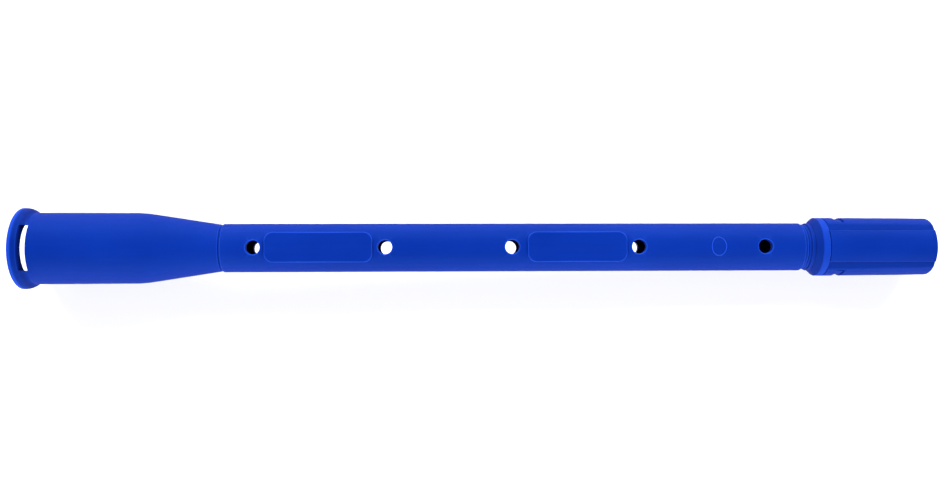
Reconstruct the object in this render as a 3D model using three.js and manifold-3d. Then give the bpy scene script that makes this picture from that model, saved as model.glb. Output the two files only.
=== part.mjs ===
// A hollow moulded hand tube: a flanged bell cup, a perforated barrel with two raised label pads,
// a collar, and a cross-fluted grip that twists a little on the barrel's end.
// Millimetres. The tube's axis is X, from the open mouth at -X to the grip at +X, and +Z is the side
// that carries the label pads. The origin is the middle of the whole length, on the axis.
import * as THREE from "three";
import { mergeVertices } from "three/addons/utils/BufferGeometryUtils.js";
import Module from "manifold-3d";

const wasm = await Module();
wasm.setup();

// ---- Driving dimensions. Every place along the tube is counted from the mouth's face.
const LENGTH = 405.6;
const GAP = 0.3; // between pieces that touch
const SIDES = 48; // facets round the tube

const WALL = 3.3;
const BORE_R = 7.4;
const SPIGOT_R = 8.8; // the barrel's stepped-down ends
const SOCKET_R = SPIGOT_R + GAP;

const FLANGE_R = 18.15;
const FLANGE_LAND = 1.2; // the flange's back rolls down to the bell from here, on an arc
const FLANGE_ROLL_R = 6;
const BELL_R = 16.0;
const BELL_END = 54;
const BELL_END_R = 15.78;
const CONE_END = 88.3;
const CONE_END_R = 10.48;
const CONE_BLEND = 4;
const SEAT = 74; // where the barrel's spigot stops inside the cup
const SEAT_LIP = 2;

const SLOT_START = 3.75;
const SLOT_WIDTH = 3.25;
const SLOT_HALF_SPAN = 9.9;

const BARREL_START_R = 10.85;
const BARREL_END = 347;
const BARREL_END_R = 10.62;
const JOINT_R = 10.3; // foot of the V groove between cup and barrel
const JOINT_CHAMFER = 0.9;
const NECK_R = 10.05;
const NECK_LENGTH = 1.3;
const JOURNAL_END = 368;

const HOLE_R = 3.1;
const HOLE_SIDES = 24;
const FIRST_HOLE = 103.6;
const SECOND_HOLE = 161.5;
const HOLE_PITCH = 55.85;
const PITCHED_HOLES = 4;

const PAD_HALF_WIDTH = 6.6;
const PAD_CORNER_R = 3.9;
const PAD_TOP = 11.35;
const PAD_FOOT = 8;
const PAD_EDGE = 0.4;
const PADS = [
  { start: 108.6, end: 156 },
  { start: 224.1, end: 267.8 },
];

const MARK_PLACE = 308.4;
const MARK_HALF_LENGTH = 3.4;
const MARK_HALF_WIDTH = 4.3;
const MARK_LINE = 0.5;
const MARK_HEIGHT = 0.15;

const COLLAR_LIP_START = 349.8;
const COLLAR_LIP_END = 351.3;
const COLLAR_LIP_R = 10.6;
const COLLAR_R = 13.04;
const COLLAR_CHAMFER_END = 353.9;
const COLLAR_END = 356.9;
const COLLAR_EDGE = 0.3;

const GRIP_R = 13.04;
const GRIP_END_R = 12.68;
const GRIP_DOME = 0.8;
const GRIP_CORNER_R = 1.2;
const GRIP_END_WALL = 3.4;
const FLUTE_CORNER_Y = 7;
const FLUTE_CORNER_Z = 9.4;
const FLUTE_SLOPE = 0.42; // how fast a flute's floor falls from its corner to the side
const FLUTE_LEAN = 0.03; // how far its wall leans over the arm

const WINDOW_START = 361.6;
const WINDOW_END = 365.3;
const WINDOW_HALF_ANGLE = 34; // degrees either side of +Y and -Y
const TWIST = 6; // degrees that the grip turns either way before the catches meet the windows' ends
const CATCH_R = 12.4;
const CATCH_CLEARANCE = 1.5; // degrees
const SLIT_WIDTH = 1.2;
const SLIT_START = 353;
const SLIT_END = 366;
const SLIT_OFFSET = 10; // degrees from each end of a catch

const ROOM = 40; // how far cutters run past the piece they cut

const blue = new THREE.MeshStandardMaterial({ color: 0x1240b8, roughness: 0.35, metalness: 0 });

// ---- Solids

/** Merges a closed geometry's vertices and makes it a manifold-3d solid. */
function solid(geometry) {
  const bare = geometry.index ? geometry.toNonIndexed() : geometry.clone();
  bare.deleteAttribute("normal");
  bare.deleteAttribute("uv");
  const merged = mergeVertices(bare, 1e-4);
  const vertProperties = new Float32Array(merged.attributes.position.array);
  const triVerts = new Uint32Array(merged.index.array);
  return new wasm.Manifold(new wasm.Mesh({ numProp: 3, vertProperties, triVerts }));
}

/** Turns a solid into a named mesh whose place along X is counted from the middle of the length. */
function piece(name, made) {
  const mesh = made.getMesh();
  const geometry = new THREE.BufferGeometry();
  geometry.setAttribute("position", new THREE.BufferAttribute(mesh.vertProperties, 3));
  geometry.setIndex(new THREE.BufferAttribute(mesh.triVerts, 1));
  const result = new THREE.Mesh(geometry.toNonIndexed(), blue);
  result.geometry.computeVertexNormals();
  result.name = name;
  result.position.x = -LENGTH / 2;
  return result;
}

/** Revolves a closed loop of [place along X, radius] about the X axis. */
function revolved(loop) {
  const points = loop.map(([along, radius]) => new THREE.Vector2(radius, along));
  if (THREE.ShapeUtils.isClockWise(points)) points.reverse();
  points.push(points[0]);
  return solid(new THREE.LatheGeometry(points, SIDES).rotateZ(-Math.PI / 2));
}

/** Extrudes an outline drawn in the Y-Z plane along X, from start to end. */
function extrudedAlong(shape, start, end) {
  const geometry = new THREE.ExtrudeGeometry(shape, { depth: end - start, bevelEnabled: false });
  const across = new THREE.Vector3(0, 1, 0);
  const up = new THREE.Vector3(0, 0, 1);
  const along = new THREE.Vector3(1, 0, 0);
  geometry.applyMatrix4(new THREE.Matrix4().makeBasis(across, up, along));
  return solid(geometry.translate(start, 0, 0));
}

/** Points of an arc about [x, r], from angle a to angle b, counted from the radial direction to +X. */
function arc([x, r], radius, a, b, steps) {
  return Array.from({ length: steps + 1 }, (_, i) => {
    const t = a + ((b - a) * i) / steps;
    return [x + radius * Math.sin(t), r + radius * Math.cos(t)];
  });
}

/** A sector of a ring in the Y-Z plane, from angle a to angle b in degrees, counted from +Y to +Z. */
function sector(inner, outer, a, b) {
  const from = THREE.MathUtils.degToRad(a);
  const to = THREE.MathUtils.degToRad(b);
  const shape = new THREE.Shape();
  shape.absarc(0, 0, outer, from, to, false);
  shape.absarc(0, 0, inner, to, from, true);
  shape.closePath();
  return shape;
}

// ---- Sub-parts

/** The bell cup: a rolled flange at the open mouth, a straight bell, and a cone down to the barrel. */
function headCup() {
  const coneSlope = (BELL_END_R - CONE_END_R) / (CONE_END - BELL_END);
  const rollCentre = [FLANGE_LAND, FLANGE_R - FLANGE_ROLL_R];
  const rollEnd = Math.acos((BELL_R - rollCentre[1]) / FLANGE_ROLL_R);
  const cup = revolved([
    [0, BELL_R - WALL],
    [0.2, BELL_R - WALL - 0.1],
    [BELL_END - CONE_BLEND, BELL_END_R - WALL],
    [SEAT - SEAT_LIP, BORE_R],
    [SEAT, BORE_R],
    [SEAT, SOCKET_R],
    [CONE_END, SOCKET_R],
    [CONE_END, JOINT_R],
    [CONE_END - (CONE_END_R - JOINT_R), CONE_END_R + 0.03],
    [BELL_END + CONE_BLEND, BELL_END_R - coneSlope * CONE_BLEND],
    [BELL_END, BELL_END_R - (coneSlope * CONE_BLEND) / 4],
    [BELL_END - CONE_BLEND, BELL_END_R],
    ...arc(rollCentre, FLANGE_ROLL_R, rollEnd, 0, 6),
    [GAP, FLANGE_R],
    [0, FLANGE_R - GAP],
  ]);
  const slots = new THREE.BoxGeometry(SLOT_WIDTH, 2 * SLOT_HALF_SPAN, 2 * ROOM);
  slots.translate(SLOT_START + SLOT_WIDTH / 2, 0, 0);
  return cup.subtract(solid(slots));
}

/** A raised pad with round ends of its corners, flat on top, standing in the barrel's wall. */
function labelPad({ start, end }) {
  const w = PAD_HALF_WIDTH - PAD_EDGE;
  const a = start + PAD_EDGE;
  const b = end - PAD_EDGE;
  const r = PAD_CORNER_R - PAD_EDGE;
  const shape = new THREE.Shape();
  shape.moveTo(a + r, -w);
  shape.absarc(b - r, -w + r, r, -Math.PI / 2, 0, false);
  shape.absarc(b - r, w - r, r, 0, Math.PI / 2, false);
  shape.absarc(a + r, w - r, r, Math.PI / 2, Math.PI, false);
  shape.absarc(a + r, -w + r, r, Math.PI, 1.5 * Math.PI, false);
  shape.closePath();
  const geometry = new THREE.ExtrudeGeometry(shape, {
    depth: PAD_TOP - PAD_FOOT - 2 * PAD_EDGE,
    bevelThickness: PAD_EDGE,
    bevelSize: PAD_EDGE,
    bevelSegments: 1,
    curveSegments: 4,
  });
  return solid(geometry.translate(0, 0, PAD_FOOT + PAD_EDGE));
}

/** A plain raised ring on the barrel's upper side. */
function mouldMark() {
  const shape = new THREE.Shape();
  shape.absellipse(MARK_PLACE, 0, MARK_HALF_LENGTH, MARK_HALF_WIDTH, 0, 2 * Math.PI, false, 0);
  const hole = new THREE.Path();
  const innerLength = MARK_HALF_LENGTH - MARK_LINE;
  const innerWidth = MARK_HALF_WIDTH - MARK_LINE;
  hole.absellipse(MARK_PLACE, 0, innerLength, innerWidth, 0, 2 * Math.PI, true, 0);
  shape.holes.push(hole);
  const depth = PAD_TOP - PAD_FOOT;
  const geometry = new THREE.ExtrudeGeometry(shape, { depth, bevelEnabled: false, curveSegments: 8 });
  const skin = BARREL_END_R + MARK_HEIGHT;
  const limit = revolved([
    [MARK_PLACE - ROOM, 0],
    [MARK_PLACE - ROOM, skin],
    [MARK_PLACE + ROOM, skin],
    [MARK_PLACE + ROOM, 0],
  ]);
  return solid(geometry.translate(0, 0, PAD_FOOT)).intersect(limit);
}

/** A cutter for one cross hole, right through both walls along Z. */
function crossHole(place) {
  const geometry = new THREE.CylinderGeometry(HOLE_R, HOLE_R, ROOM, HOLE_SIDES);
  return solid(geometry.rotateX(Math.PI / 2).translate(place, 0, 0));
}

/** The two catches that stand in the grip's windows, by the angles of their ends. */
const catchAngles = [0, 180].map((side) => ({
  from: side - WINDOW_HALF_ANGLE + TWIST + CATCH_CLEARANCE,
  to: side + WINDOW_HALF_ANGLE - TWIST - CATCH_CLEARANCE,
}));

/** A cutter for one slit beside a catch, which lets the wall under the catch bend. */
function slit(degrees) {
  const geometry = new THREE.BoxGeometry(SLIT_END - SLIT_START, ROOM, SLIT_WIDTH);
  geometry.translate((SLIT_END + SLIT_START) / 2, ROOM / 2, 0);
  return solid(geometry.rotateX(THREE.MathUtils.degToRad(degrees)));
}

/** The perforated barrel, with a spigot for the cup at one end and a journal for the grip at the other. */
function barrelTube() {
  const start = SEAT + GAP;
  const shoulder = CONE_END + GAP;
  let tube = revolved([
    [start, BORE_R],
    [JOURNAL_END, BORE_R],
    [JOURNAL_END, SPIGOT_R - 0.5],
    [JOURNAL_END - 0.8, SPIGOT_R],
    [BARREL_END + NECK_LENGTH, SPIGOT_R],
    [BARREL_END + NECK_LENGTH, NECK_R],
    [BARREL_END, NECK_R],
    [BARREL_END, BARREL_END_R - 0.3],
    [BARREL_END - 0.5, BARREL_END_R],
    [shoulder + JOINT_CHAMFER, BARREL_START_R],
    [shoulder, JOINT_R],
    [shoulder, SPIGOT_R],
    [start + 0.8, SPIGOT_R],
    [start, SPIGOT_R - 0.5],
  ]);
  for (const pad of PADS) tube = tube.add(labelPad(pad));
  tube = tube.add(mouldMark());
  const pitched = Array.from({ length: PITCHED_HOLES }, (_, i) => SECOND_HOLE + i * HOLE_PITCH);
  for (const place of [FIRST_HOLE, ...pitched]) tube = tube.subtract(crossHole(place));
  const inner = (BORE_R + SPIGOT_R) / 2;
  for (const { from, to } of catchAngles) {
    const shape = sector(inner, CATCH_R, from, to);
    tube = tube.add(extrudedAlong(shape, WINDOW_START + GAP, WINDOW_END - GAP));
    tube = tube.subtract(slit(from - SLIT_OFFSET)).subtract(slit(to + SLIT_OFFSET));
  }
  return tube;
}

/** The collar: a short skirt and lip behind the neck groove, a chamfer, and a round land. */
function endCollar() {
  const start = BARREL_END + NECK_LENGTH + GAP;
  return revolved([
    [start, SOCKET_R],
    [COLLAR_END, SOCKET_R],
    [COLLAR_END, COLLAR_R - COLLAR_EDGE],
    [COLLAR_END - COLLAR_EDGE, COLLAR_R],
    [COLLAR_CHAMFER_END + COLLAR_EDGE, COLLAR_R],
    [COLLAR_CHAMFER_END, COLLAR_R - 0.15],
    [COLLAR_LIP_END, COLLAR_LIP_R],
    [COLLAR_LIP_START + COLLAR_EDGE, COLLAR_LIP_R],
    [COLLAR_LIP_START, NECK_R],
    [start, NECK_R],
  ]);
}

/** The grip: a closed sleeve with a slightly domed end, cut to four arms by four long flutes. */
function flutedGrip() {
  const start = COLLAR_END + GAP;
  const corner = LENGTH - GRIP_DOME - GRIP_CORNER_R;
  let grip = revolved([
    [LENGTH - GRIP_END_WALL, 0],
    [LENGTH, 0],
    [LENGTH - GRIP_DOME * 0.25, (GRIP_END_R - GRIP_CORNER_R) / 2],
    ...arc([corner, GRIP_END_R - GRIP_CORNER_R], GRIP_CORNER_R, Math.PI / 2, 0, 5),
    [start + COLLAR_EDGE, GRIP_R],
    [start, GRIP_R - COLLAR_EDGE],
    [start, SOCKET_R],
    [LENGTH - GRIP_END_WALL, SOCKET_R],
  ]);
  const floorAtRoom = FLUTE_CORNER_Z - FLUTE_SLOPE * (ROOM - FLUTE_CORNER_Y);
  const wallAtRoom = FLUTE_CORNER_Y - FLUTE_LEAN * (ROOM - FLUTE_CORNER_Z);
  for (const side of [1, -1])
    for (const face of [1, -1]) {
      const flute = new THREE.Shape();
      flute.moveTo(side * FLUTE_CORNER_Y, face * FLUTE_CORNER_Z);
      flute.lineTo(side * ROOM, face * floorAtRoom);
      flute.lineTo(side * ROOM, face * ROOM);
      flute.lineTo(side * wallAtRoom, face * ROOM);
      flute.closePath();
      grip = grip.subtract(extrudedAlong(flute, start - 1, LENGTH + 1));
    }
  for (const side of [0, 180]) {
    const opening = sector(SOCKET_R - 1, ROOM, side - WINDOW_HALF_ANGLE, side + WINDOW_HALF_ANGLE);
    grip = grip.subtract(extrudedAlong(opening, WINDOW_START, WINDOW_END));
  }
  return grip;
}

const handTube = new THREE.Group();
handTube.add(
  piece("head_cup", headCup()),
  piece("barrel_tube", barrelTube()),
  piece("end_collar", endCollar()),
  piece("fluted_grip", flutedGrip()),
);

export default handTube;
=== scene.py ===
"""A hollow moulded hand tube in cobalt blue plastic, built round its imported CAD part.

Four pieces: a flanged bell cup with two slots, a perforated barrel with two raised label pads and a
plain moulded ring, a collar, and a grip with four flutes and two windows. Each is one closed skin of
quads worked out on a grid of places along the tube and angles round it. The tube's axis is X, the
open mouth is at -X, and +Z is the side with the pads. Shapes are in millimetres counted from the
mouth's face, and become metres in the row frame when the skin is made into a mesh.
"""

import math

import bpy
import numpy as np
from mathutils import Euler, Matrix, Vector


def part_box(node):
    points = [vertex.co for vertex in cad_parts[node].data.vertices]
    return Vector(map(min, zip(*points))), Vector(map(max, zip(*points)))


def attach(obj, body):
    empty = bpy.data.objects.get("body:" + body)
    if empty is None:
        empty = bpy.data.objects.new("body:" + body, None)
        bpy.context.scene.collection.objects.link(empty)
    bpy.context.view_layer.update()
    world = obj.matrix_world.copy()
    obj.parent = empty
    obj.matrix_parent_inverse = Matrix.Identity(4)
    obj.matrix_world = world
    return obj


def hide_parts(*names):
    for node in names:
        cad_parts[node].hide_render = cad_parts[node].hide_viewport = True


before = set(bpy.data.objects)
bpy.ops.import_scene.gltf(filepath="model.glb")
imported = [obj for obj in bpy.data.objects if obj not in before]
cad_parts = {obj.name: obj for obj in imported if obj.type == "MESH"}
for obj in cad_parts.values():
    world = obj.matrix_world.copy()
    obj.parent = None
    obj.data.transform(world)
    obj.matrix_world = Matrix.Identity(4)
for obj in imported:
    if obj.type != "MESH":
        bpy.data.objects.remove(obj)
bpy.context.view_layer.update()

MM = 0.001
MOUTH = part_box("head_cup")[0].x
TAU = 2 * math.pi

# ---- Driving dimensions in millimetres from the mouth's face. They are the CAD part's own, but for the
# grip's dome and end corner, the rounded rims, and the moulded ring's height.
LENGTH = 405.6
GAP = 0.3
WALL = 3.3
BORE_R = 7.4
SPIGOT_R = 8.8
SOCKET_R = SPIGOT_R + GAP

FLANGE_R = 18.15
FLANGE_LAND = 1.2
FLANGE_ROLL_R = 6.0
BELL_R = 16.0
BELL_END = 54.0
BELL_END_R = 15.78
CONE_END = 88.3
CONE_END_R = 10.48
CONE_BLEND = 4.0
SEAT = 74.0

SLOT_MIDDLE = 5.375
SLOT_HALF_WIDTH = 1.625
SLOT_HALF_SPAN = 9.9

BARREL_START_R = 10.85
BARREL_END = 347.0
BARREL_END_R = 10.62
JOINT_R = 10.3
NECK_R = 10.05
NECK_LENGTH = 1.3
JOURNAL_END = 368.0
HOLE_R = 3.1
HOLES = [103.6, 161.5, 217.35, 273.2, 329.05]

PAD_HALF_WIDTH = 6.6
PAD_CORNER_R = 3.9
PAD_TOP = 11.35
PADS = [(108.6, 156.0), (224.1, 267.8)]

MARK_PLACE = 308.4
MARK_HALF_LENGTH = 3.4
MARK_HALF_WIDTH = 4.3
MARK_LINE = 0.5
MARK_HEIGHT = 0.16

COLLAR_LIP = (349.8, 351.3)
COLLAR_LIP_R = 10.6
COLLAR_R = 13.04
COLLAR_CHAMFER_END = 353.9
COLLAR_END = 356.9

GRIP_R = 13.04
GRIP_END_R = 12.68
GRIP_DOME = 1.2
GRIP_CORNER_R = 0.7
GRIP_END_WALL = 3.4
FLUTE_CORNER = (7.0, 9.4)
FLUTE_SLOPE = 0.42
FLUTE_LEAN = 0.03

WINDOW = (361.6, 365.3)
WINDOW_HALF_ANGLE = 34.0
CATCH = (361.9, 365.0)
CATCH_R = 12.4
CATCH_ANGLES = (-26.5, 26.5)
SLIT = (353.0, 366.0)
SLIT_ANGLES = (-36.5, 36.5)
SLIT_HALF_ANGLE = 3.9

COLUMNS = 144
GRIP_COLUMNS = 384
FOLD_DEGREES = 38  # folds sharper than this are shaded as edges
SLOT_PATCH_HALF_ANGLE = 57.5
HOLE_PATCH_HALF_ANGLE = 37.5
PAD_PATCH_HALF_ANGLE = 45
RING_PATCH_HALF_ANGLE = 30
CATCH_PATCH_HALF_ANGLE = 30
SLIT_PATCH_ANGLES = (30, 42.5)
WINDOW_PATCH_HALF_ANGLE = 35.9
SLOT_CORNER_R = 0.2
SLIT_RIM = 0.12
WINDOW_RIM = 0.2


# ---- Lines and skins


def eased(corners, radii, steps=4, guard=0.3):
    """An open line with each of its inner corners turned into an arc.

    The arc of radius r touches both legs at r / tan(half the corner's angle) from the corner, its
    centre is r / sin(half) along the bisector, and a guard point beyond each end keeps the leg flat.
    """
    corners = np.asarray(corners, float)
    radii = np.asarray(radii, float)[:, None]
    legs = np.diff(corners, axis=0)
    lengths = np.linalg.norm(legs, axis=1, keepdims=True)
    forward = legs / lengths
    back = -forward[:-1]
    ahead = forward[1:]
    half = np.arccos(np.clip((back * ahead).sum(1, keepdims=True), -1, 1)) / 2
    tangent = radii / np.tan(half)
    free = lengths.copy()
    free[:-1] -= tangent
    free[1:] -= tangent
    spare = np.minimum(guard, free / 3)
    middle = corners[1:-1]
    bisector = (back + ahead) / np.linalg.norm(back + ahead, axis=1, keepdims=True)
    centre = middle + bisector * radii / np.sin(half)
    first = (middle + back * tangent - centre) / radii
    last = (middle + ahead * tangent - centre) / radii
    sweep = math.pi - 2 * half
    s = np.linspace(0, 1, steps + 1)[None, :, None]
    swept = sweep[:, None]
    arcs = centre[:, None] + radii[:, None] * (
        np.sin((1 - s) * swept) * first[:, None] + np.sin(s * swept) * last[:, None]
    ) / np.sin(swept)
    before = middle + back * (tangent + spare[:-1])
    after = middle + ahead * (tangent + spare[1:])
    inner = np.concatenate([before[:, None], arcs, after[:, None]], axis=1)
    return np.concatenate([corners[:1], inner.reshape(-1, 2), corners[-1:]])


def on_tube(place, radius, angle):
    """The points (place, r cos a, r sin a), on arrays of any matching shape."""
    spots = np.broadcast_arrays(place, radius * np.cos(angle), radius * np.sin(angle))
    return np.stack(spots, axis=-1)


def turned(profile, angles):
    """A profile of (place, radius) turned about X."""
    return on_tube(profile[:, :1], profile[:, 1:], angles)


def bend_of(mesh):
    """How sharply a mesh bends at each vertex, in 1/mm: over 0 on a ridge, under 0 in a crease.

    Along an edge it is -2 n.d / |d|^2, with n the vertex's normal and d the step to its neighbour,
    and a vertex has the mean over its edges.
    """
    count = len(mesh.vertices)
    places = np.empty(count * 3)
    normals = np.empty(count * 3)
    ends = np.empty(len(mesh.edges) * 2, np.int32)
    mesh.vertices.foreach_get("co", places)
    mesh.vertex_normals.foreach_get("vector", normals)
    mesh.edges.foreach_get("vertices", ends)
    ends = ends.reshape(-1, 2)
    ends = np.concatenate([ends, ends[:, ::-1]])
    step = (places.reshape(-1, 3)[ends[:, 1]] - places.reshape(-1, 3)[ends[:, 0]]) / MM
    fall = -2 * (normals.reshape(-1, 3)[ends[:, 0]] * step).sum(axis=1) / (step**2).sum(axis=1)
    return np.bincount(ends[:, 0], fall, count) / np.bincount(ends[:, 0], minlength=count)


def unshaded(place, radius):
    """No painted paler or darker strips of light and shade."""
    return 0 * place


class Skin:
    """A growing closed skin: blocks of points, and quads named by the points' numbers."""

    def __init__(self):
        self.blocks = []
        self.faces = []
        self.count = 0

    def points(self, block):
        """Adds points of any array shape, and gives back their numbers in that shape."""
        block = np.asarray(block, float)
        shape = block.shape[:-1]
        numbers = self.count + np.arange(int(np.prod(shape))).reshape(shape)
        self.blocks.append(block.reshape(-1, 3))
        self.count += numbers.size
        return numbers

    def sheet(self, grid, kept=None):
        """Quads between neighbouring rows and columns of a grid of numbers."""
        quads = np.stack([grid[:-1, :-1], grid[:-1, 1:], grid[1:, 1:], grid[1:, :-1]], axis=-1)
        self.faces.append(quads[kept] if kept is not None else quads.reshape(-1, 4))

    def bridge(self, *loops):
        """Quads from each closed loop to the next one, which has as many points."""
        near = np.stack(loops[:-1])
        far = np.stack(loops[1:])
        quads = [near, np.roll(near, -1, axis=1), np.roll(far, -1, axis=1), far]
        self.faces.append(np.stack(quads, axis=-1).reshape(-1, 4))

    def fan(self, loop, centre, outward):
        """Triangles from a closed loop to one point."""
        ahead = np.roll(loop, -1)
        middle = np.full_like(loop, centre)
        order = [loop, ahead, middle] if outward else [ahead, loop, middle]
        self.faces.append(np.stack(order, axis=-1))

    def place_of(self, numbers):
        """Where numbered points are."""
        return np.concatenate(self.blocks)[numbers]

    def piece(self, name, material, body, *nodes, slot, shade=unshaded):
        """Turns the skin into a mesh object in metres, smooth but for its folds, on its CAD body.

        Its vertices carry how sharply they bend, and the tone of the painted light and shade strip they
        lie in, from -1 for palest, a painted highlight, to 1 for darkest, a painted shade.
        """
        used = np.unique(np.concatenate([block.ravel() for block in self.faces]))
        renumbered = np.zeros(self.count, int)
        renumbered[used] = np.arange(len(used))
        spots = np.concatenate(self.blocks)[used]
        places = spots * MM
        places[:, 0] += MOUTH
        faces = [renumbered[block].tolist() for block in self.faces]
        mesh = bpy.data.meshes.new(name)
        mesh.from_pydata(places.tolist(), [], [face for block in faces for face in block])
        mesh.validate()
        mesh.update()
        # Painted light and shade: the tone of the pale and dark strips, from the piece's shade.
        painted_light_shade = shade(spots[:, 0], np.hypot(spots[:, 1], spots[:, 2]))
        for label, values in (("bend", bend_of(mesh)), ("painted_light_shade", painted_light_shade)):
            layer = mesh.attributes.new(label, "FLOAT", "POINT")
            layer.data.foreach_set("value", values.astype(np.float32))
        mesh.shade_smooth()
        mesh.set_sharp_from_angle(angle=math.radians(FOLD_DEGREES))
        mesh.materials.append(material)
        made = bpy.data.objects.new(name, mesh)
        bpy.context.scene.collection.objects.link(made)
        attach(made, body)
        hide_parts(*nodes)
        return made


def border(grid):
    """The closed loop round a block of numbers, counter-clockwise as seen from outside the tube."""
    return np.concatenate([grid[:-1, -1], grid[-1, :0:-1], grid[:0:-1, 0], grid[0, :-1]])


def square(skin, grid):
    """Where a block's points are on a square from -1 to 1: (along X, round the tube)."""
    spots = skin.place_of(grid)
    along = spots[:, 0, 0]
    angle = np.unwrap(np.arctan2(spots[0, :, 2], spots[0, :, 1]))
    u = 2 * (along - along[0]) / (along[-1] - along[0]) - 1
    v = 2 * (angle - angle[0]) / (angle[-1] - angle[0]) - 1
    return np.stack(np.meshgrid(u, v, indexing="ij"), axis=-1)


def nested(spots):
    """Spots of a square as nested squares: how far out each one is, and its spot on the border."""
    out = np.maximum(np.abs(spots).max(axis=-1, keepdims=True), 1e-9)
    return out, spots / out


def rounded(spots, half, corner):
    """Moves spots on a square's border to a rectangle's border with round corners.

    A spot is scaled to the rectangle, held inside the box that the corner radius leaves, and then
    pushed out from there by the corner radius.
    """
    half = np.asarray(half, float)
    scaled = spots * half
    held = np.clip(scaled, corner - half, half - corner)
    off = scaled - held
    return held + corner * off / np.maximum(np.linalg.norm(off, axis=-1, keepdims=True), 1e-9)


def lathe(skin, points, openings=(), looped=True):
    """Rows of points turned about X, less the blocks of (rows, columns) that openings take up."""
    grid = skin.points(points)
    closed = np.concatenate([grid, grid[:1]]) if looped else grid
    closed = np.concatenate([closed, closed[:, :1]], axis=1)
    kept = np.ones((len(closed) - 1, grid.shape[1]), bool)
    for rows, columns in openings:
        kept[np.ix_(np.sort(rows)[:-1], columns[:-1] % grid.shape[1])] = False
    skin.sheet(closed, kept)
    return grid


def columns_between(angles, low, high):
    """Column numbers whose angles lie from low to high degrees, going past a full turn if need be."""
    step = 360 / len(angles)
    return np.arange(round(low / step), round(high / step) + 1)


def block(grid, rows, columns):
    """The block of a lathed grid at these rows and columns."""
    return grid[np.ix_(rows, columns % grid.shape[1])]


# ---- Openings and raised patches on a lathed skin


def fillet(radius, steps=4):
    """How far a rounded rim stands out from a wall, and how deep it is, from the skin to the wall."""
    a = np.linspace(0, math.pi / 2, steps + 1)[:, None]
    return radius * (1 - np.sin(a)), radius * (1 - np.cos(a))


def cross_hole(skin, outer, inner, place, side, outer_radius, rims=(0.5, 0.3)):
    """A round hole through one wall along Z, with a rounded rim outside and inside.

    At the angle p round the hole, a rim ring's radius is the hole's plus the fillet's reach, and its
    height is the tube's, root(r^2 - y^2), less the fillet's depth.
    """
    edge = border(outer)
    spot = skin.place_of(edge)
    turn = np.arctan2(spot[:, 1], spot[:, 0] - place)
    loops = [edge]
    for radius_at, rim, sign in [(outer_radius, rims[0], 1), (lambda x: BORE_R, rims[1], -1)]:
        reach, depth = fillet(rim)
        support = np.array([[rim + 0.2]])
        reach = np.concatenate([support, reach])
        depth = np.concatenate([0 * support, depth])
        if sign < 0:
            reach, depth = reach[::-1], depth[::-1]
        x = place + (HOLE_R + reach) * np.cos(turn)
        y = (HOLE_R + reach) * np.sin(turn)
        z = np.sqrt(radius_at(x) ** 2 - y**2) - sign * depth
        loops.extend(skin.points(np.stack([x, y, side * z], axis=-1)))
    skin.bridge(*loops, border(inner))


def cross_slot(skin, outer, inner, side, outer_radius, inner_radius, rim=0.28):
    """A long narrow slot through one wall along Z, as cross_hole but with a rectangle's outline."""
    spots = border(square(skin, outer))
    loops = [border(outer)]
    for radius_at, sign in [(outer_radius, 1), (inner_radius, -1)]:
        reach, depth = fillet(rim)
        reach = np.concatenate([[[rim + 0.3]], reach])
        depth = np.concatenate([[[0.0]], depth])
        if sign < 0:
            reach, depth = reach[::-1], depth[::-1]
        rings = []
        for out, down in zip(reach[:, 0], depth[:, 0]):
            half = (SLOT_HALF_WIDTH + out, SLOT_HALF_SPAN + out)
            flat = rounded(spots, half, SLOT_CORNER_R + out)
            x = SLOT_MIDDLE + flat[:, 0]
            y = -side * flat[:, 1]
            z = np.sqrt(radius_at(x) ** 2 - y**2) - sign * down
            rings.append(np.stack([x, y, side * z], axis=-1))
        loops.extend(skin.points(np.stack(rings)))
    skin.bridge(*loops, border(inner))


def wrapped(spots, places, angles, grow=0.0, radius=10.0):
    """Spots of a square laid on the rectangle between two places and two angles, in degrees."""
    half_length = (places[1] - places[0]) / 2 + grow
    half_angle = math.radians(angles[1] - angles[0]) / 2 + grow / radius
    x = (places[0] + places[1]) / 2 + spots[..., 0] * half_length
    return x, math.radians(angles[0] + angles[1]) / 2 + spots[..., 1] * half_angle


def wrapped_opening(skin, outer, inner, places, angles, outer_radius, inner_radius, rim=0.25):
    """An opening through a wall, bounded by two places and two angles, with rounded rims."""
    spots = border(square(skin, outer))
    loops = [border(outer)]
    for radius_at, sign in [(outer_radius, 1), (inner_radius, -1)]:
        reach, depth = fillet(rim)
        if sign < 0:
            reach, depth = reach[::-1], depth[::-1]
        rings = []
        for out, down in zip(reach[:, 0], depth[:, 0]):
            x, a = wrapped(spots, places, angles, out)
            rings.append(on_tube(x, radius_at(x, a) - sign * down, a))
        loops.extend(skin.points(np.stack(rings)))
    skin.bridge(*loops, border(inner))


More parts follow.
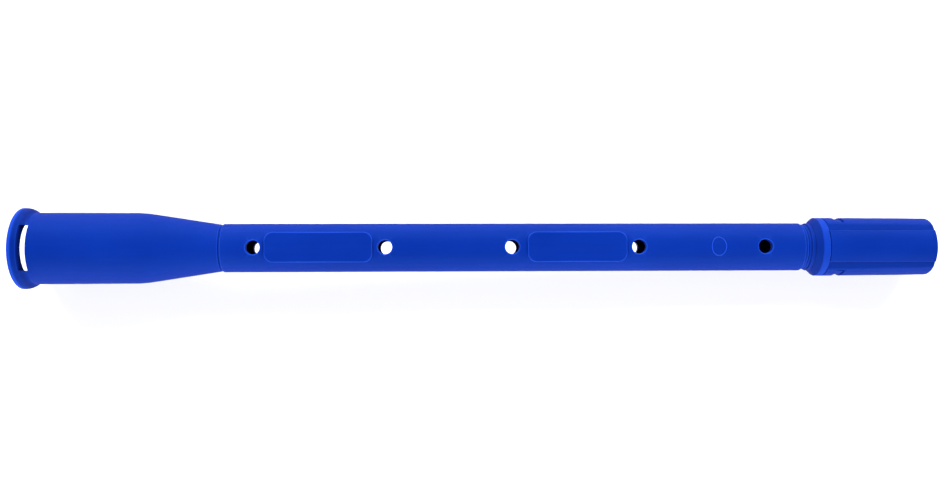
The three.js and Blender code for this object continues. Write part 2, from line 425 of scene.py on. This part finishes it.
def label_pad(skin, grid, place, outer_radius, edge=0.65, drop=0.42):
    """A raised pad: an outline with round corners, upright sides, a rounded rim and a flat top.

    The rim is a quarter ellipse, edge wide and drop deep. The foot lies on the tube at
    root(r^2 - y^2), and the top is one flat grid of nested outlines.
    """
    spots = square(skin, grid)
    edge_spots = border(spots)
    half = ((place[1] - place[0]) / 2, PAD_HALF_WIDTH)
    middle = (place[0] + place[1]) / 2
    foot = rounded(edge_spots, half, PAD_CORNER_R)
    surface = np.sqrt(outer_radius(middle + foot[:, 0]) ** 2 - foot[:, 1] ** 2)
    rings = [np.column_stack([middle + foot[:, 0], -foot[:, 1], surface])]
    reach, depth = fillet(edge, 5)
    for inset, down in zip(reach[::-1, 0], depth[::-1, 0]):
        flat = rounded(edge_spots, (half[0] - inset, half[1] - inset), PAD_CORNER_R - inset)
        height = np.full(len(flat), PAD_TOP - down * drop / edge)
        rings.append(np.column_stack([middle + flat[:, 0], -flat[:, 1], height]))
    numbers = skin.points(np.stack(rings))
    out, spots = nested(spots)
    inset = edge + 0.3
    flat = rounded(spots, (half[0] - inset, half[1] - inset), PAD_CORNER_R - inset) * out
    top = np.stack([middle + flat[..., 0], -flat[..., 1], 0 * flat[..., 0] + PAD_TOP], axis=-1)
    top = skin.points(top)
    skin.sheet(top)
    skin.bridge(border(grid), *numbers, border(top))


def raised_ring(skin, grid, outer_radius):
    """A low oval ring on the tube: out over a half-round line, then a filled oval inside it."""
    out, spots = nested(square(skin, grid))
    turn = np.arctan2(spots[..., 1], spots[..., 0])
    edge_turn = border(turn)
    a = np.linspace(0, math.pi, 9)[:, None]
    beside = np.array([[-0.2], [-0.1]])
    inset = np.concatenate([beside, MARK_LINE / 2 * (1 - np.cos(a))])
    height = np.concatenate([0 * beside, MARK_HEIGHT * np.sin(a) ** 0.7])
    x = MARK_PLACE + (MARK_HALF_LENGTH - inset) * np.cos(edge_turn)
    y = (MARK_HALF_WIDTH - inset) * np.sin(edge_turn)
    z = np.sqrt(outer_radius(x) ** 2 - y**2) + height
    z = np.where(inset > MARK_LINE - 1e-9, np.sqrt(outer_radius(x) ** 2 - y**2), z)
    numbers = skin.points(np.stack([x, -y, z], axis=-1))
    x = MARK_PLACE + out[..., 0] * (MARK_HALF_LENGTH - MARK_LINE - 0.1) * np.cos(turn)
    y = out[..., 0] * (MARK_HALF_WIDTH - MARK_LINE - 0.1) * np.sin(turn)
    z = np.sqrt(outer_radius(x) ** 2 - y**2)
    inside = skin.points(np.stack([x, -y, z], axis=-1))
    skin.sheet(inside)
    skin.bridge(border(grid), *numbers, border(inside))


def catch(skin, grid, angles, edge=0.3):
    """A block that stands up from the journal between two places and two angles."""
    spots = square(skin, grid)
    x, a = wrapped(border(spots), CATCH, angles)
    rings = [on_tube(x, SPIGOT_R, a)]
    reach, depth = fillet(edge)
    for inset, down in zip(reach[::-1, 0], depth[::-1, 0]):
        x, a = wrapped(border(spots), CATCH, angles, -inset, CATCH_R)
        rings.append(on_tube(x, CATCH_R - down, a))
    numbers = skin.points(np.stack(rings))
    x, a = wrapped(spots, CATCH, angles, -edge - 0.2, CATCH_R)
    top = skin.points(on_tube(x, CATCH_R, a))
    skin.sheet(top)
    skin.bridge(border(grid), *numbers, border(top))


# ---- The four pieces


def bell_radius(place):
    """The cup's outside: the higher of the flange's round back and the bell, then down the cone.

    The bell narrows by a straight line, and the slope grows to the cone's over a short parabola.
    """
    place = np.asarray(place, float)
    bell = BELL_R + (BELL_END_R - BELL_R) * place / BELL_END
    bell_slope = (BELL_R - BELL_END_R) / BELL_END
    cone_slope = (BELL_END_R - CONE_END_R) / (CONE_END - BELL_END)
    turned = np.clip(place - BELL_END + CONE_BLEND, 0, 2 * CONE_BLEND)
    past = np.maximum(place - BELL_END - CONE_BLEND, 0)
    bell = bell - (cone_slope - bell_slope) * (turned**2 / (4 * CONE_BLEND) + past)
    along = np.clip(place - FLANGE_LAND, 0, FLANGE_ROLL_R)
    roll = FLANGE_R - FLANGE_ROLL_R + np.sqrt(FLANGE_ROLL_R**2 - along**2)
    roll = np.where(along < FLANGE_ROLL_R, roll, 0)
    blend = 0.15
    near = np.maximum(blend - np.abs(bell - roll), 0)
    return np.maximum(bell, roll) + near**2 / (4 * blend)


def cup_bore_radius(place):
    """The cup's inside: nearly straight under the bell, then a cone down to the barrel's bore."""
    return np.interp(
        place,
        [0, BELL_END - CONE_BLEND, SEAT - 2, SEAT],
        [BELL_R - WALL, BELL_END_R - WALL, BORE_R, BORE_R],
    )


def cup(material):
    """The bell cup: one closed profile turned about X, with a slot through the wall on two sides."""
    roll = FLANGE_LAND + FLANGE_ROLL_R * np.sin(np.radians(np.arange(0, 46, 5)))
    bell = [5.75, 6.1, 6.6, 7.1, 7.7, 8.3, 9.2, 13, 20, 28, 36, 44, 49]
    shoulder = np.linspace(BELL_END - CONE_BLEND, BELL_END + CONE_BLEND, 9)
    cone = np.linspace(BELL_END + CONE_BLEND + 2, SEAT - 3, 4)
    shared = np.concatenate([roll, bell, shoulder, cone])
    slope_end = bell_radius(CONE_END - 0.5)
    rear = eased(
        [
            (SEAT, bell_radius(SEAT)),
            (CONE_END - 0.3, slope_end - 0.02),
            (CONE_END, JOINT_R),
            (CONE_END, SOCKET_R),
            (SEAT, SOCKET_R),
            (SEAT, BORE_R),
            (SEAT - 2, BORE_R),
            (SEAT - 2.8, cup_bore_radius(SEAT - 2.8)),
        ],
        [0.15, 0.1, 0.2, 0.15, 0.25, 0.5],
    )
    front = eased(
        [
            (1.0, BELL_R - WALL - 0.1),
            (0, BELL_R - WALL),
            (0, FLANGE_R),
            (FLANGE_LAND - 0.1, FLANGE_R),
        ],
        [0.45, 0.4],
        steps=5,
    )
    outer = np.column_stack([shared, bell_radius(shared)])
    inner = np.column_stack([shared, cup_bore_radius(shared)])[::-1]
    profile = np.concatenate([outer, rear, inner, front])
    count = len(shared)
    first = int(np.searchsorted(shared, 2.7))
    last = int(np.searchsorted(shared, 8.2))
    rows = np.arange(first, last + 1)
    inner_rows = count + len(rear) + (count - 1 - rows)
    angles = np.arange(COLUMNS) * TAU / COLUMNS
    wide = SLOT_PATCH_HALF_ANGLE
    spans = [columns_between(angles, middle - wide, middle + wide) for middle in (90, 270)]
    openings = [(r, c) for c in spans for r in (rows, inner_rows)]
    skin = Skin()
    grid = lathe(skin, turned(profile, angles), openings)
    for side, columns in zip((1, -1), spans):
        outer_block = block(grid, rows, columns)
        inner_block = block(grid, inner_rows, columns)
        cross_slot(skin, outer_block, inner_block, side, bell_radius, cup_bore_radius)

    def shade(place, radius):
        """Painted highlight on the flange's lip, painted shade on its back, darkest at the foot of the
        slots' walls.
        """
        # Painted highlight on the lip under 0, painted shade on the flange's back over 0.
        back = np.interp(place, [1.4, 2.0, 3.0, 4.8, 5.8], [-0.7, 0.3, 0.25, 0.6, 0])
        # Painted shade, at its darkest, on the slots' deep walls.
        slot = np.where((place > 3) & (place < 8), 1.0, 0.0)
        return np.where(radius > BELL_R - 0.4, back, slot)

    name = "cup_shell"
    return skin.piece(name, material, "tube", "head_cup", slot="cup_plastic", shade=shade)


def barrel_radius(place):
    """The barrel's outside: a straight, slightly narrowing line."""
    return np.interp(place, [CONE_END, BARREL_END], [BARREL_START_R, BARREL_END_R])


def barrel(material):
    """The barrel: one closed profile with cross holes, two pads, a ring, and the grip's journal."""
    start = SEAT + GAP
    shoulder = CONE_END + GAP
    neck_end = BARREL_END + NECK_LENGTH
    hole_rows = np.array([-4.1, -3.0, -1.5, 0, 1.5, 3.0, 4.1])
    spread = [-0.6, -0.25, 0.15, 0.7, 1.3, 2.0, 2.8, 3.7]
    shared = [91.0, 95.0]
    pieces = [("hole", p, p + hole_rows) for p in HOLES]
    for low, high in PADS:
        steps = np.linspace(low + 6, high - 6, 9)
        near = low + np.array(spread)
        pieces.append(("pad", (low, high), np.concatenate([near, steps, (high + low - near)[::-1]])))
    pieces.append(("ring", MARK_PLACE, MARK_PLACE + np.linspace(-4.6, 4.6, 13)))
    pieces.sort(key=lambda entry: entry[2][0])
    fillers = [185.0, 194.0, 203.0, 240.0, 285.0, 294.0, 318.0, 340.0, 345.0]
    taken = [(e[2][0], e[2][-1]) for e in pieces]
    free = [f for f in shared + fillers if all(f < a - 1 or f > b + 1 for a, b in taken)]
    main = np.sort(np.concatenate([free, *[e[2] for e in pieces]]))
    journal = np.array([352.2, 353.5, 355, 357, 359, 360.4, 361.2, 361.6, 362.4, 363.4, 364.4, 365.3])
    journal = np.concatenate([journal, [365.7, 366.8]])
    front = eased(
        [
            (start + 3, BORE_R),
            (start, BORE_R),
            (start, SPIGOT_R),
            (shoulder, SPIGOT_R),
            (shoulder, JOINT_R),
            (shoulder + 0.75, BARREL_START_R),
            (shoulder + 2, barrel_radius(shoulder + 2)),
        ],
        [0.3, 0.5, 0.2, 0.1, 0.5],
    )
    neck = eased(
        [
            (BARREL_END - 1.5, barrel_radius(BARREL_END - 1.5)),
            (BARREL_END, BARREL_END_R),
            (BARREL_END, NECK_R),
            (neck_end, NECK_R),
            (neck_end, SPIGOT_R),
            (neck_end + 2, SPIGOT_R),
        ],
        [0.4, 0.12, 0.1, 0.1],
    )
    rear = eased(
        [
            (JOURNAL_END - 0.9, SPIGOT_R),
            (JOURNAL_END, SPIGOT_R),
            (JOURNAL_END, BORE_R),
            (JOURNAL_END - 0.9, BORE_R),
        ],
        [0.4, 0.3],
    )
    outer_main = np.column_stack([main, barrel_radius(main)])
    outer_journal = np.column_stack([journal, np.full(len(journal), SPIGOT_R)])
    bore = np.concatenate([main, journal])[::-1]
    inner = np.column_stack([bore, np.full(len(bore), BORE_R)])
    profile = np.concatenate([front, outer_main, neck, outer_journal, rear, inner])
    offset = len(front)
    journal_offset = offset + len(main) + len(neck)
    inner_last = len(profile) - 1
    angles = np.arange(COLUMNS) * TAU / COLUMNS

    def rows_at(low, high):
        a = int(np.searchsorted(main, low - 1e-6))
        b = int(np.searchsorted(main, high + 1e-6))
        return offset + np.arange(a, b), inner_last - np.arange(a, b)

    def journal_rows(low, high):
        a = int(np.searchsorted(journal, low))
        b = int(np.searchsorted(journal, high))
        rows = np.arange(a, b)
        return journal_offset + rows, inner_last - len(main) - rows

    openings = []
    jobs = []
    for kind, place, stations in pieces:
        rows, inner_rows = rows_at(stations[0], stations[-1])
        if kind == "hole":
            for side, middle in ((1, 90), (-1, 270)):
                low, high = middle - HOLE_PATCH_HALF_ANGLE, middle + HOLE_PATCH_HALF_ANGLE
                columns = columns_between(angles, low, high)
                openings += [(rows, columns), (inner_rows, columns)]
                jobs.append((kind, place, side, rows, inner_rows, columns))
        else:
            half = PAD_PATCH_HALF_ANGLE if kind == "pad" else RING_PATCH_HALF_ANGLE
            columns = columns_between(angles, 90 - half, 90 + half)
            openings.append((rows, columns))
            jobs.append((kind, place, 1, rows, None, columns))
    for turn in (0, 180):
        rows, _ = journal_rows(361.1, 366)
        low, high = (turn + a for a in CATCH_ANGLES)
        wide = CATCH_PATCH_HALF_ANGLE
        columns = columns_between(angles, turn - wide, turn + wide)
        openings.append((rows, columns))
        jobs.append(("catch", (low, high), 1, rows, None, columns))
        near, far = SLIT_PATCH_ANGLES
        for middle, span in ((SLIT_ANGLES[0], (-far, -near)), (SLIT_ANGLES[1], (near, far))):
            rows, inner_rows = journal_rows(352, 367)
            columns = columns_between(angles, turn + span[0], turn + span[1])
            openings += [(rows, columns), (inner_rows, columns)]
            limits = (turn + middle - SLIT_HALF_ANGLE, turn + middle + SLIT_HALF_ANGLE)
            jobs.append(("slit", limits, 1, rows, inner_rows, columns))
    skin = Skin()
    grid = lathe(skin, turned(profile, angles), openings)
    for kind, place, side, rows, inner_rows, columns in jobs:
        outer_block = block(grid, rows, columns)
        if kind == "hole":
            cross_hole(skin, outer_block, block(grid, inner_rows, columns), place, side, barrel_radius)
        elif kind == "pad":
            label_pad(skin, outer_block, place, barrel_radius)
        elif kind == "ring":
            raised_ring(skin, outer_block, barrel_radius)
        elif kind == "catch":
            catch(skin, outer_block, place)
        else:
            inner_block = block(grid, inner_rows, columns)
            wrapped_opening(
                skin,
                outer_block,
                inner_block,
                SLIT,
                place,
                lambda x, a: np.full(x.shape, SPIGOT_R),
                lambda x, a: np.full(x.shape, BORE_R),
                SLIT_RIM,
            )
    return skin.piece("barrel_shell", material, "tube", "barrel_tube", slot="barrel_plastic")


def collar(material):
    """The collar: one closed profile turned about X."""
    start = BARREL_END + NECK_LENGTH + GAP
    corners = [
        (start + 3, SOCKET_R),
        (COLLAR_END, SOCKET_R),
        (COLLAR_END, COLLAR_R),
        (COLLAR_CHAMFER_END, COLLAR_R - 0.04),
        (COLLAR_LIP[1], COLLAR_LIP_R),
        (COLLAR_LIP[0], COLLAR_LIP_R),
        (COLLAR_LIP[0], NECK_R),
        (start, NECK_R),
        (start, SOCKET_R),
        (start + 2, SOCKET_R),
    ]
    profile = eased(corners, [0.2, 0.35, 0.4, 0.3, 0.3, 0.12, 0.15, 0.15], guard=0.25)[::-1]
    angles = np.arange(COLUMNS) * TAU / COLUMNS
    skin = Skin()
    lathe(skin, turned(profile, angles))

    def shade(place, radius):
        """Painted shade up to the chamfer's end, and a pale painted highlight on the land behind it."""
        # Painted shade on the lip and chamfer, a painted highlight on the land.
        stops = [COLLAR_LIP[0], COLLAR_LIP[1], COLLAR_CHAMFER_END - 0.2, COLLAR_CHAMFER_END + 0.3]
        return np.interp(place, stops, [0.25, 0.4, 0.45, -0.3])

    name = "collar_shell"
    return skin.piece(name, material, "tube", "end_collar", slot="collar_plastic", shade=shade)


def smaller(a, b, blend):
    """The smaller of two arrays, with the change from one to the other rounded over a blend."""
    near = np.maximum(blend - np.abs(a - b), 0)
    return np.minimum(a, b) - near**2 / (4 * blend)


def flute_radius(angles):
    """How far out the four-armed section reaches at an angle.

    In one quarter, a flute is cut above a floor that falls from its corner to the side, and beyond
    a wall that leans in over the arm, so the ray ends at the farther of the two lines, rounded in
    the corner.
    """
    y = np.abs(np.cos(angles))
    z = np.abs(np.sin(angles))
    corner_y, corner_z = FLUTE_CORNER
    floor = (corner_z + FLUTE_SLOPE * corner_y) / (z + FLUTE_SLOPE * y)
    wall = (corner_y + FLUTE_LEAN * corner_z) / (y + FLUTE_LEAN * z)
    return -smaller(-floor, -wall, 0.4)


def grip_angles(count):
    """Angles round the grip, closer together where its section turns a corner.

    They are read off a running sum of one plus a bump of exp(-(distance / width)^2) at each corner.
    """
    fine = np.linspace(0, TAU, 20001)
    quarter = np.array([37.8, 42.0, 48.0, 53.3, 56.0, 58.4])
    turns = np.radians(np.concatenate([quarter, 180 - quarter, 180 + quarter, 360 - quarter]))
    apart = fine[:, None] - turns
    weight = 1 + 1.6 * np.exp(-((apart / 0.05) ** 2)).sum(axis=1)
    total = np.concatenate([[0], np.cumsum((weight[1:] + weight[:-1]) / 2)])
    return np.interp(np.arange(count) / count * total[-1], total, fine)


def grip(material):
    """The grip: closed at its rounded end, cut by four flutes, with a window through each side arm.

    Its outside at a row is the smaller of the row's own round radius and the flutes' radius.
    """
    start = COLLAR_END + GAP
    corner_place = LENGTH - GRIP_DOME - GRIP_CORNER_R
    inner_end = LENGTH - GRIP_END_WALL
    angles = grip_angles(GRIP_COLUMNS)
    stations = np.array([359.6, 360.6, 361.1, 361.9, 362.7, 363.5, 364.3, 365.0, 365.8, 366.4])
    stations = np.concatenate([stations, [368, 376, 384, 392, 398, inner_end - 1.2]])

    def round_radius(place):
        """A straight line that narrows to the end."""
        return np.interp(place, [start, corner_place], [GRIP_R, GRIP_END_R])

    def section(place, angle):
        """The round radius, less the flutes."""
        return smaller(round_radius(place), flute_radius(angle), 0.35)

    corners = [
        (inner_end, SOCKET_R - 2),
        (inner_end, SOCKET_R),
        (start, SOCKET_R),
        (start, SOCKET_R + 0.8),
    ]
    bore = eased(corners, [0.3, 0.25])
    stations_first = 8
    bore = np.insert(bore, stations_first, stations[::-1, None] * [1, 0] + [0, SOCKET_R], axis=0)
    lip_turn = np.linspace(0, math.pi / 2, 5)[:, None]
    lip_place = start + 0.25 * (1 - np.cos(lip_turn))
    lip = on_tube(lip_place, section(start, angles) - 0.25 * (1 - np.sin(lip_turn)), angles)
    side = on_tube(stations[:, None], section(stations[:, None], angles), angles)
    flat_r = GRIP_END_R - GRIP_CORNER_R
    turn = np.linspace(0, math.pi / 2, 13)
    share = np.linspace(1, 0.05, 12)[1:]
    end_place = np.concatenate(
        [corner_place + GRIP_CORNER_R * np.sin(turn), LENGTH - GRIP_DOME * share**2]
    )
    end_r = np.concatenate([flat_r + GRIP_CORNER_R * np.cos(turn), flat_r * share])
    end = on_tube(end_place[:, None], smaller(end_r[:, None], flute_radius(angles), 0.35), angles)
    skin = Skin()
    first_side = len(bore) + len(lip)
    chosen = np.arange(1, 10)
    rows = first_side + chosen
    inner_rows = stations_first + len(stations) - 1 - chosen
    spans = []
    for middle in (0, math.pi):
        off = np.abs((angles - middle + math.pi) % TAU - math.pi)
        half = int((off <= math.radians(WINDOW_PATCH_HALF_ANGLE)).sum() // 2)
        spans.append(int(np.argmin(off)) + np.arange(-half, half + 1))
    openings = [(r, c) for c in spans for r in (rows, inner_rows)]
    points = np.concatenate([turned(bore, angles), lip, side, end])
    grid = lathe(skin, points, openings, looped=False)
    ends = skin.points([[inner_end, 0, 0], [LENGTH, 0, 0]])
    skin.fan(grid[0], ends[0], False)
    skin.fan(grid[-1], ends[1], True)
    for middle, columns in zip((0, 180), spans):
        wrapped_opening(
            skin,
            block(grid, rows, columns),
            block(grid, inner_rows, columns),
            WINDOW,
            (middle - WINDOW_HALF_ANGLE, middle + WINDOW_HALF_ANGLE),
            section,
            lambda x, a: np.full(x.shape, SOCKET_R),
            WINDOW_RIM,
        )
    return skin.piece("grip_shell", material, "grip", "fluted_grip", slot="grip_plastic")


# ---- Finishes


# Painted light and shade: the first colour is a painted highlight for ridges and pale strips, the
# second a painted shade for creases and dark strips.
PAINTED_HIGHLIGHT = (0.0085, 0.052, 0.46)
PAINTED_SHADE = (0.0006, 0.0050, 0.080)
RIDGE = (0.3, 1.3)  # the bends, in 1/mm, where the painted highlight on ridges starts and is full
CREASE = (-0.25, -1.2)  # the bends where the painted shade in creases starts and is full


def moulded_blue(name, deep, light, roughness, ridge_highlight):
    """Cobalt blue moulded plastic: pigment clouds, flow lines along the tube, fine grain, scuffs.

    Ridges get a paler painted highlight and creases a darker painted shade by the piece's bend, and
    its painted light and shade tone paints whole strips paler under 0 and darker over 0. Both
    stand in for light and shade, and stay put in any light.
    """
    material = bpy.data.materials.new(name)
    material.use_nodes = True
    nodes = material.node_tree.nodes
    links = material.node_tree.links
    shader = nodes["Principled BSDF"]
    where = nodes.new("ShaderNodeTexCoord").outputs["Object"]

    def stretched(scale):
        mapping = nodes.new("ShaderNodeMapping")
        mapping.inputs["Scale"].default_value = scale
        links.new(where, mapping.inputs["Vector"])
        return mapping.outputs["Vector"]

    def noise(vector, scale, detail, rough=0.5):
        made = nodes.new("ShaderNodeTexNoise")
        made.inputs["Scale"].default_value = scale
        made.inputs["Detail"].default_value = detail
        made.inputs["Roughness"].default_value = rough
        links.new(vector, made.inputs["Vector"])
        return made.outputs["Fac"]

    def ranged(value, low, high, from_low=0.3, from_high=0.7):
        made = nodes.new("ShaderNodeMapRange")
        made.inputs["From Min"].default_value = from_low
        made.inputs["From Max"].default_value = from_high
        made.inputs["To Min"].default_value = low
        made.inputs["To Max"].default_value = high
        links.new(value, made.inputs["Value"])
        return made.outputs["Result"]

    clouds = noise(stretched((0.6, 1, 1)), 38, 4, 0.55)
    flow = noise(stretched((0.05, 1, 1)), 420, 3, 0.6)
    grain = noise(stretched((1, 1, 1)), 2600, 2, 0.5)
    ripple = noise(stretched((0.35, 1, 1)), 130, 2, 0.5)
    scuffs = noise(stretched((0.12, 1, 1)), 900, 5, 0.7)

    mixed = nodes.new("ShaderNodeMath")
    mixed.operation = "MULTIPLY_ADD"
    links.new(flow, mixed.inputs[0])
    mixed.inputs[1].default_value = 0.35
    links.new(clouds, mixed.inputs[2])
    ramp = nodes.new("ShaderNodeValToRGB")
    ramp.color_ramp.elements[0].position = 0.45
    ramp.color_ramp.elements[0].color = (*deep, 1)
    ramp.color_ramp.elements[1].position = 0.9
    ramp.color_ramp.elements[1].color = (*light, 1)
    links.new(mixed.outputs["Value"], ramp.inputs["Fac"])

    def attribute(label):
        made = nodes.new("ShaderNodeAttribute")
        made.attribute_name = label
        return made.outputs["Fac"]

    def blended(amount, colour, tint):
        made = nodes.new("ShaderNodeMix")
        made.data_type = "RGBA"
        links.new(amount, made.inputs["Factor"])
        links.new(colour, made.inputs[6])
        made.inputs[7].default_value = (*tint, 1)
        return made.outputs[2]

    bend = attribute("bend")
    painted_light_shade = attribute("painted_light_shade")
    # Painted highlight on ridges and painted shade in creases, then the painted pale and dark strips.
    colour = blended(ranged(bend, 0, ridge_highlight, *RIDGE), ramp.outputs["Color"], PAINTED_HIGHLIGHT)
    colour = blended(ranged(bend, 0, 0.8, *CREASE), colour, PAINTED_SHADE)
    colour = blended(ranged(painted_light_shade, 0, 1, 0, -1), colour, PAINTED_HIGHLIGHT)
    colour = blended(ranged(painted_light_shade, 0, 1, 0, 1), colour, PAINTED_SHADE)
    links.new(colour, shader.inputs["Base Color"])

    worn = nodes.new("ShaderNodeMath")
    worn.operation = "ADD"
    links.new(ranged(clouds, roughness - 0.03, roughness + 0.04), worn.inputs[0])
    links.new(ranged(scuffs, 0.0, 0.08, 0.58, 0.75), worn.inputs[1])
    links.new(worn.outputs["Value"], shader.inputs["Roughness"])

    height = nodes.new("ShaderNodeMath")
    height.operation = "MULTIPLY_ADD"
    links.new(grain, height.inputs[0])
    height.inputs[1].default_value = 0.25
    links.new(ripple, height.inputs[2])
    bump = nodes.new("ShaderNodeBump")
    bump.inputs["Strength"].default_value = 0.12
    bump.inputs["Distance"].default_value = 0.00035
    links.new(height.outputs["Value"], bump.inputs["Height"])
    links.new(bump.outputs["Normal"], shader.inputs["Normal"])
    shader.inputs["Specular IOR Level"].default_value = 0.1
    shader.inputs["Specular Tint"].default_value = (0.35, 1, 0.9, 1)
    return material


DEEP_BLUE = (0.0014, 0.0165, 0.196)
LIGHT_BLUE = (0.0020, 0.0205, 0.232)
cup_blue = moulded_blue("cup_blue", DEEP_BLUE, LIGHT_BLUE, 0.44, 0.6)
barrel_blue = moulded_blue("barrel_blue", DEEP_BLUE, LIGHT_BLUE, 0.42, 0.95)
DEEP_COLLAR_BLUE = (0.0018, 0.0190, 0.220)
LIGHT_COLLAR_BLUE = (0.0026, 0.0235, 0.260)
collar_blue = moulded_blue("collar_blue", DEEP_COLLAR_BLUE, LIGHT_COLLAR_BLUE, 0.38, 0.35)
grip_blue = moulded_blue("grip_blue", DEEP_BLUE, LIGHT_BLUE, 0.40, 0.1)

cup(cup_blue)
barrel(barrel_blue)
collar(collar_blue)
grip(grip_blue)


# ---- Floor, light and camera


def pale_floor():
    """A wide pale plane that the tube lies on, tipped to touch both the flange and the collar.

    It and the softboxes are left out of reflections, so the plastic shows no hard highlights.
    """
    low = -FLANGE_R * MM
    tip = math.atan((FLANGE_R - COLLAR_R) / (COLLAR_END - FLANGE_LAND))
    size = 3.0
    corners = np.array([(-1, -1), (1, -1), (1, 1), (-1, 1)]) * size
    heights = low + (corners[:, 0] - MOUTH) * math.tan(tip) - 0.0001
    mesh = bpy.data.meshes.new("floor")
    mesh.from_pydata(np.column_stack([corners, heights]).tolist(), [], [(0, 1, 2, 3)])
    floor = bpy.data.objects.new("floor", mesh)
    bpy.context.scene.collection.objects.link(floor)
    paint = bpy.data.materials.new("pale_floor")
    paint.use_nodes = True
    shader = paint.node_tree.nodes["Principled BSDF"]
    shader.inputs["Base Color"].default_value = (0.965, 0.96, 0.97, 1)
    shader.inputs["Roughness"].default_value = 0.9
    shader.inputs["Specular IOR Level"].default_value = 0.1
    mesh.materials.append(paint)
    floor.visible_glossy = False


def softbox(name, place, size, power):
    """A rectangular area light at a place, turned to the tube's middle."""
    data = bpy.data.lights.new(name, "AREA")
    data.shape = "RECTANGLE"
    data.size = size[0]
    data.size_y = size[1]
    data.energy = power
    light = bpy.data.objects.new(name, data)
    light.location = place
    light.visible_glossy = False
    light.rotation_euler = (-Vector(place)).to_track_quat("-Z", "Y").to_euler()
    bpy.context.scene.collection.objects.link(light)


def surroundings(stops):
    """A plain white room whose grey depends on how high a direction points: (height, grey) stops."""
    world = bpy.data.worlds.new("studio")
    world.use_nodes = True
    nodes = world.node_tree.nodes
    links = world.node_tree.links
    split = nodes.new("ShaderNodeSeparateXYZ")
    links.new(nodes.new("ShaderNodeTexCoord").outputs["Generated"], split.inputs["Vector"])
    height = nodes.new("ShaderNodeMapRange")
    height.inputs["From Min"].default_value = -1
    links.new(split.outputs["Z"], height.inputs["Value"])
    ramp = nodes.new("ShaderNodeValToRGB")
    elements = ramp.color_ramp.elements
    while len(elements) < len(stops):
        elements.new(0.5)
    for element, (level, grey) in zip(elements, stops):
        element.position = (level + 1) / 2
        element.color = (grey, grey, grey, 1)
    links.new(height.outputs["Result"], ramp.inputs["Fac"])
    links.new(ramp.outputs["Color"], nodes["Background"].inputs["Color"])
    bpy.context.scene.world = world


def camera(place, tilt, turn, roll, lens, shift):
    """The view from above the pads, a little left of the tube's middle."""
    data = bpy.data.cameras.new("camera")
    data.lens = lens
    data.shift_x = shift
    data.clip_start = 0.01
    data.clip_end = 20
    made = bpy.data.objects.new("camera", data)
    made.location = place
    made.rotation_euler = Euler((math.radians(tilt), math.radians(turn), math.radians(roll)), "XYZ")
    bpy.context.scene.collection.objects.link(made)
    bpy.context.scene.camera = made


pale_floor()
surroundings([(-1, 0.3), (-0.1, 0.45), (0.08, 0.75), (0.85, 0.05)])
softbox("upper_softbox", (0.0, 1.1, 0.66), (2.4, 0.8), 53)
softbox("lower_softbox", (0.0, -1.1, 0.6), (2.4, 0.8), 42)
camera((-0.0151, -0.01217, 0.4175), 2.2, -0.745, -0.15, 35.3, 0.018)
bpy.context.scene.view_settings.view_transform = "Standard"
